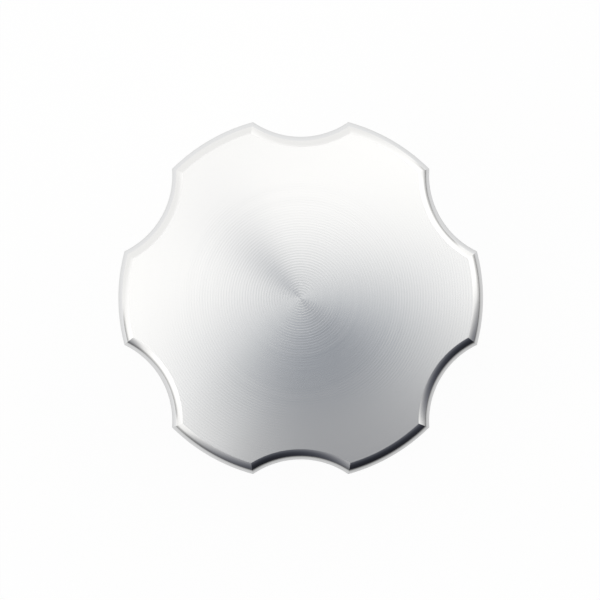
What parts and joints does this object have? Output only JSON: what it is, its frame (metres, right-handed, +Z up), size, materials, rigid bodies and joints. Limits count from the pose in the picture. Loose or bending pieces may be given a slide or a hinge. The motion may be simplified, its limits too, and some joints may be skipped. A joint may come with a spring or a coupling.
{
  "type": "oil filler cap",
  "caption": "Screw-in oil filler cap: a low scalloped knob of turned aluminium on a short coarse-threaded stem, with a rubber sealing ring under its seat.",
  "frame": {"origin": "centre of the threaded stem's end face, on which the cap stands on a bench", "axes": "+Z up the cap's axis, from the stem to the knob's top face; +X towards the middle of one lobe"},
  "size_m": [0.052, 0.0502, 0.03],
  "materials": {
    "aluminium": "turned, with fine concentric tool marks",
    "rubber": "moulded, satin black"
  },
  "bodies": {
    "root": {"cap_body": "aluminium", "sealing_ring": "rubber"}
  },
  "joints": []
}
